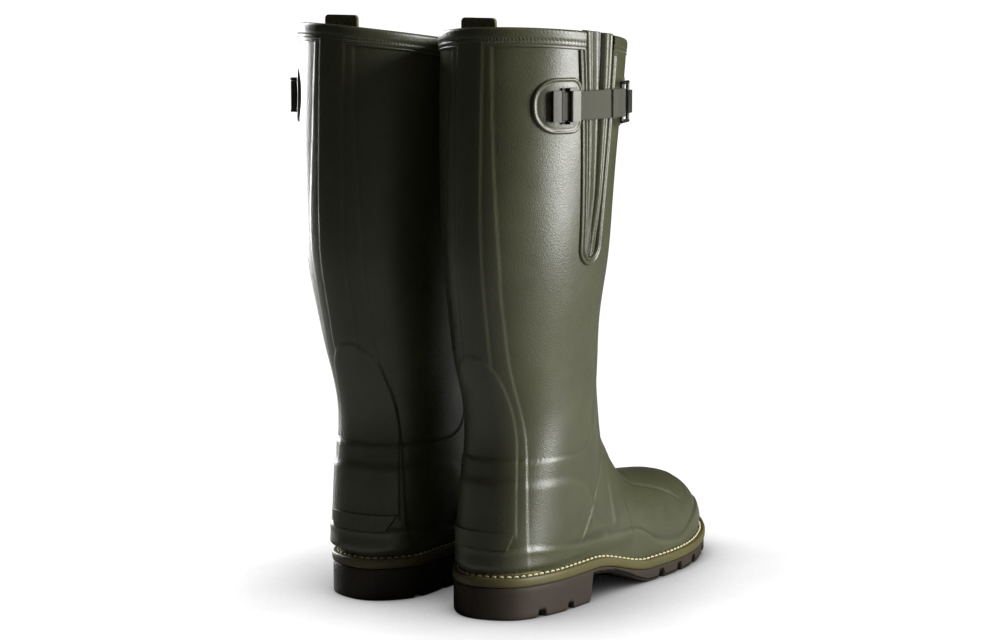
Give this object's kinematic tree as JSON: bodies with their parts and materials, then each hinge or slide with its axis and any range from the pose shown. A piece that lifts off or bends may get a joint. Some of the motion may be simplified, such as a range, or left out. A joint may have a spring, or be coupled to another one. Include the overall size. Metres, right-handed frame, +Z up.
{
  "type": "insulated rubber boots",
  "caption": "Pair of tall insulated rubber boots with welted lugged soles, a pleated calf gusset, a buckled adjuster strap and a back pull loop.",
  "frame": {"origin": "on the floor, at the centre of the pair's bounding box", "axes": "+Z up, +Y from heel to toe, +X toward the right boot"},
  "size_m": [0.2594, 0.3217, 0.426],
  "materials": {
    "rubber": "satin olive green, fine leather-like grain",
    "welt_rubber": "matte yellow-olive",
    "outsole_rubber": "matte dark brown",
    "thread": "waxed thread",
    "neoprene": "knit-faced neoprene",
    "gusset": "soft matte rubber",
    "foam": "felt-topped foam",
    "board": "fibre board",
    "steel": "plain steel",
    "metal": "gunmetal plate",
    "webbing": "woven tape",
    "tape": "woven tape"
  },
  "bodies": {
    "right_boot": {"right_outsole": "outsole_rubber", "right_welt": "welt_rubber", "right_welt_stitches": "thread", "right_shank": "steel", "right_insole_board": "board", "right_footbed": "foam", "right_rubber_upper": "rubber", "right_neoprene_lining": "neoprene", "right_foxing_band": "rubber", "right_toe_cap": "rubber", "right_instep_guard": "rubber", "right_heel_counter": "rubber", "right_kick_off_ledge": "rubber", "right_achilles_guard": "rubber", "right_back_strip": "rubber", "right_top_binding": "rubber", "right_gusset_panel": "gusset", "right_gusset_trim": "rubber", "right_rear_patch": "rubber", "right_front_patch": "rubber", "right_buckle_base": "metal", "right_buckle_pin": "steel", "right_ring_keeper": "rubber", "right_pull_loop_anchor": "tape"},
    "right_lever": {"right_buckle_lever": "metal"},
    "right_strap": {"right_strap_webbing": "webbing", "right_strap_ring": "metal"},
    "right_strap_end": {"right_strap_tail": "webbing", "right_strap_tip": "metal"},
    "right_pull_loop": {"right_pull_loop": "tape"},
    "left_boot": {"left_outsole": "outsole_rubber", "left_welt": "welt_rubber", "left_welt_stitches": "thread", "left_shank": "steel", "left_insole_board": "board", "left_footbed": "foam", "left_rubber_upper": "rubber", "left_neoprene_lining": "neoprene", "left_foxing_band": "rubber", "left_toe_cap": "rubber", "left_instep_guard": "rubber", "left_heel_counter": "rubber", "left_kick_off_ledge": "rubber", "left_achilles_guard": "rubber", "left_back_strip": "rubber", "left_top_binding": "rubber", "left_gusset_panel": "gusset", "left_gusset_trim": "rubber", "left_rear_patch": "rubber", "left_front_patch": "rubber", "left_buckle_base": "metal", "left_buckle_pin": "steel", "left_ring_keeper": "rubber", "left_pull_loop_anchor": "tape"},
    "left_lever": {"left_buckle_lever": "metal"},
    "left_strap": {"left_strap_webbing": "webbing", "left_strap_ring": "metal"},
    "left_strap_end": {"left_strap_tail": "webbing", "left_strap_tip": "metal"},
    "left_pull_loop": {"left_pull_loop": "tape"}
  },
  "joints": [
    {"name": "left_boot_lift", "type": "slide", "parent": "right_boot", "child": "left_boot", "axis": [0, 0, 1], "range_m": [0, 0.45]},
    {"name": "right_lever_open", "type": "hinge", "parent": "right_boot", "child": "right_lever", "pos_m": [0.12015, -0.12156, 0.366], "axis": [0, 0, -1], "range_deg": [0, 75]},
    {"name": "right_strap_slide", "type": "hinge", "parent": "right_boot", "child": "right_strap", "pos_m": [0.03333, -0.08291, 0.366], "axis": [0, 0, -1], "range_deg": [0, 2.9]},
    {"name": "right_strap_end_lift", "type": "hinge", "parent": "right_strap", "child": "right_strap_end", "pos_m": [0.11536, -0.12743, 0.366], "axis": [0, 0, 1], "range_deg": [0, 50]},
    {"name": "right_pull_loop_fold", "type": "hinge", "parent": "right_boot", "child": "right_pull_loop", "pos_m": [0.0585, -0.1433, 0.39075], "axis": [-1, 0, 0], "range_deg": [0, 40]},
    {"name": "left_lever_open", "type": "hinge", "parent": "left_boot", "child": "left_lever", "pos_m": [-0.12015, -0.12156, 0.366], "axis": [0, 0, 1], "range_deg": [0, 75]},
    {"name": "left_strap_slide", "type": "hinge", "parent": "left_boot", "child": "left_strap", "pos_m": [-0.03333, -0.08291, 0.366], "axis": [0, 0, 1], "range_deg": [0, 2.9]},
    {"name": "left_strap_end_lift", "type": "hinge", "parent": "left_strap", "child": "left_strap_end", "pos_m": [-0.11536, -0.12743, 0.366], "axis": [0, 0, -1], "range_deg": [0, 50]},
    {"name": "left_pull_loop_fold", "type": "hinge", "parent": "left_boot", "child": "left_pull_loop", "pos_m": [-0.0585, -0.1433, 0.39075], "axis": [-1, 0, 0], "range_deg": [0, 40]}
  ]
}
